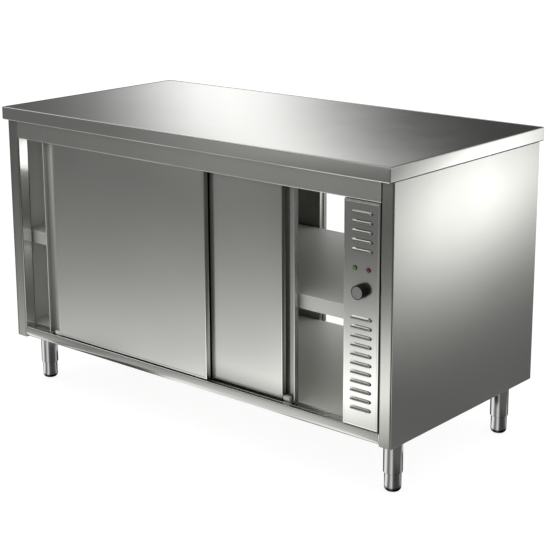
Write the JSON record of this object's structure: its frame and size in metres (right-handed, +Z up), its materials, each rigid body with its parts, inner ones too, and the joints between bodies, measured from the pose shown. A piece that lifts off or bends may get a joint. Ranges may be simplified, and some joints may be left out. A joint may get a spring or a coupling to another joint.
{
  "type": "plate warmer cabinet",
  "caption": "Free-standing stainless steel heated cupboard with a flat worktop, sliding doors on both long sides, a fan heater in one end and levelling feet.",
  "frame": {"origin": "centre of the footprint, on the floor", "axes": "+X along the cabinet towards the control panel, +Y from the front to the back, +Z up"},
  "size_m": [1.4, 0.7, 0.85],
  "materials": {
    "satin_steel": "satin, fine horizontal grain",
    "polished_steel": "polished",
    "galvanised": "galvanised sheet",
    "zinc": "zinc plated",
    "element": "heat-tinted tube",
    "motor_paint": "matt enamel",
    "nylon": "natural nylon",
    "black_plastic": "moulded, semi-gloss",
    "grey_plastic": "moulded",
    "green_lens": "tinted lens",
    "red_lens": "tinted lens"
  },
  "bodies": {
    "cabinet": {"air_duct": "galvanised", "back_cover": "satin_steel", "cable_gland": "grey_plastic", "compartment_wall": "satin_steel", "control_panel": "satin_steel", "door_track_back": "galvanised", "door_track_front": "galvanised", "fan_motor": "motor_paint", "fascia_back": "satin_steel", "fascia_front": "satin_steel", "floor_panel": "satin_steel", "foot_sleeve_back_left": "polished_steel", "foot_sleeve_back_right": "polished_steel", "foot_sleeve_front_left": "polished_steel", "foot_sleeve_front_right": "polished_steel", "heating_element": "element", "pilot_lamp_green": "green_lens", "pilot_lamp_red": "red_lens", "post_back_left": "satin_steel", "post_back_right": "satin_steel", "post_front_left": "satin_steel", "post_front_right": "satin_steel", "shelf": "satin_steel", "shelf_brackets": "satin_steel", "side_panel_left": "satin_steel", "side_panel_right": "satin_steel", "sill_back": "satin_steel", "sill_front": "satin_steel", "terminal_block": "grey_plastic", "thermostat_body": "black_plastic", "track_screws": "zinc", "worktop": "satin_steel", "worktop_stiffeners": "galvanised"},
    "front_left_door": {"front_left_door_skin": "satin_steel", "front_left_door_liner": "satin_steel", "front_left_door_shoes": "nylon"},
    "front_left_door_roller_plain_end": {"front_left_door_roller_plain_end": "nylon"},
    "front_left_door_roller_handle_end": {"front_left_door_roller_handle_end": "nylon"},
    "front_right_door": {"front_right_door_skin": "satin_steel", "front_right_door_liner": "satin_steel", "front_right_door_shoes": "nylon"},
    "front_right_door_roller_plain_end": {"front_right_door_roller_plain_end": "nylon"},
    "front_right_door_roller_handle_end": {"front_right_door_roller_handle_end": "nylon"},
    "back_left_door": {"back_left_door_skin": "satin_steel", "back_left_door_liner": "satin_steel", "back_left_door_shoes": "nylon"},
    "back_left_door_roller_plain_end": {"back_left_door_roller_plain_end": "nylon"},
    "back_left_door_roller_handle_end": {"back_left_door_roller_handle_end": "nylon"},
    "back_right_door": {"back_right_door_skin": "satin_steel", "back_right_door_liner": "satin_steel", "back_right_door_shoes": "nylon"},
    "back_right_door_roller_plain_end": {"back_right_door_roller_plain_end": "nylon"},
    "back_right_door_roller_handle_end": {"back_right_door_roller_handle_end": "nylon"},
    "knob": {"thermostat_knob": "black_plastic", "thermostat_spindle": "zinc"},
    "fan": {"fan_wheel": "galvanised"},
    "foot_adjuster_front_left": {"foot_adjuster_front_left": "polished_steel"},
    "foot_adjuster_front_right": {"foot_adjuster_front_right": "polished_steel"},
    "foot_adjuster_back_left": {"foot_adjuster_back_left": "polished_steel"},
    "foot_adjuster_back_right": {"foot_adjuster_back_right": "polished_steel"}
  },
  "joints": [
    {"name": "front_left_door_slide", "type": "slide", "parent": "cabinet", "child": "front_left_door", "axis": [1, 0, 0], "range_m": [-0.103, 0.466]},
    {"name": "front_left_door_roller_plain_end_spin", "type": "hinge", "parent": "front_left_door", "child": "front_left_door_roller_plain_end", "pos_m": [0.0135, -0.313, 0.7953], "axis": [0, 1, 0], "range_deg": [-595.15, 2674.98]},
    {"name": "front_left_door_roller_handle_end_spin", "type": "hinge", "parent": "front_left_door", "child": "front_left_door_roller_handle_end", "pos_m": [-0.4445, -0.313, 0.7953], "axis": [0, 1, 0], "range_deg": [-595.15, 2674.98]},
    {"name": "front_right_door_slide", "type": "slide", "parent": "cabinet", "child": "front_right_door", "axis": [1, 0, 0], "range_m": [-0.3965, 0.1725]},
    {"name": "front_right_door_roller_plain_end_spin", "type": "hinge", "parent": "front_right_door", "child": "front_right_door_roller_plain_end", "pos_m": [-0.193, -0.294, 0.7953], "axis": [0, 1, 0], "range_deg": [-2276.78, 993.35]},
    {"name": "front_right_door_roller_handle_end_spin", "type": "hinge", "parent": "front_right_door", "child": "front_right_door_roller_handle_end", "pos_m": [0.265, -0.294, 0.7953], "axis": [0, 1, 0], "range_deg": [-2276.78, 993.35]},
    {"name": "back_left_door_slide", "type": "slide", "parent": "cabinet", "child": "back_left_door", "axis": [1, 0, 0], "range_m": [0, 0.569]},
    {"name": "back_left_door_roller_plain_end_spin", "type": "hinge", "parent": "back_left_door", "child": "back_left_door_roller_plain_end", "pos_m": [-0.0895, 0.294, 0.7953], "axis": [0, 1, 0], "range_deg": [-5, 3265.13]},
    {"name": "back_left_door_roller_handle_end_spin", "type": "hinge", "parent": "back_left_door", "child": "back_left_door_roller_handle_end", "pos_m": [-0.5475, 0.294, 0.7953], "axis": [0, 1, 0], "range_deg": [-5, 3265.13]},
    {"name": "back_right_door_slide", "type": "slide", "parent": "cabinet", "child": "back_right_door", "axis": [1, 0, 0], "range_m": [0, 0.569]},
    {"name": "back_right_door_roller_plain_end_spin", "type": "hinge", "parent": "back_right_door", "child": "back_right_door_roller_plain_end", "pos_m": [-0.5895, 0.313, 0.7953], "axis": [0, 1, 0], "range_deg": [-5, 3265.13]},
    {"name": "back_right_door_roller_handle_end_spin", "type": "hinge", "parent": "back_right_door", "child": "back_right_door_roller_handle_end", "pos_m": [-0.1315, 0.313, 0.7953], "axis": [0, 1, 0], "range_deg": [-5, 3265.13]},
    {"name": "thermostat_turn", "type": "hinge", "parent": "cabinet", "child": "knob", "pos_m": [0.605, -0.329, 0.531], "axis": [0, 1, 0], "range_deg": [0, 270]},
    {"name": "fan_spin", "type": "hinge", "parent": "cabinet", "child": "fan", "pos_m": [0.62, 0, 0.4], "axis": [1, 0, 0], "continuous": true},
    {"name": "foot_level_front_left", "type": "slide", "parent": "cabinet", "child": "foot_adjuster_front_left", "axis": [0, 0, 1], "range_m": [-0.025, 0.02]},
    {"name": "foot_level_front_right", "type": "slide", "parent": "cabinet", "child": "foot_adjuster_front_right", "axis": [0, 0, 1], "range_m": [-0.025, 0.02]},
    {"name": "foot_level_back_left", "type": "slide", "parent": "cabinet", "child": "foot_adjuster_back_left", "axis": [0, 0, 1], "range_m": [-0.025, 0.02]},
    {"name": "foot_level_back_right", "type": "slide", "parent": "cabinet", "child": "foot_adjuster_back_right", "axis": [0, 0, 1], "range_m": [-0.025, 0.02]}
  ],
  "couplings": [
    {"joint": "front_left_door_roller_plain_end_spin", "follows": "front_left_door_slide", "rad_per_m": 100},
    {"joint": "front_left_door_roller_handle_end_spin", "follows": "front_left_door_slide", "rad_per_m": 100},
    {"joint": "front_right_door_roller_plain_end_spin", "follows": "front_right_door_slide", "rad_per_m": 100},
    {"joint": "front_right_door_roller_handle_end_spin", "follows": "front_right_door_slide", "rad_per_m": 100},
    {"joint": "back_left_door_roller_plain_end_spin", "follows": "back_left_door_slide", "rad_per_m": 100},
    {"joint": "back_left_door_roller_handle_end_spin", "follows": "back_left_door_slide", "rad_per_m": 100},
    {"joint": "back_right_door_roller_plain_end_spin", "follows": "back_right_door_slide", "rad_per_m": 100},
    {"joint": "back_right_door_roller_handle_end_spin", "follows": "back_right_door_slide", "rad_per_m": 100}
  ]
}
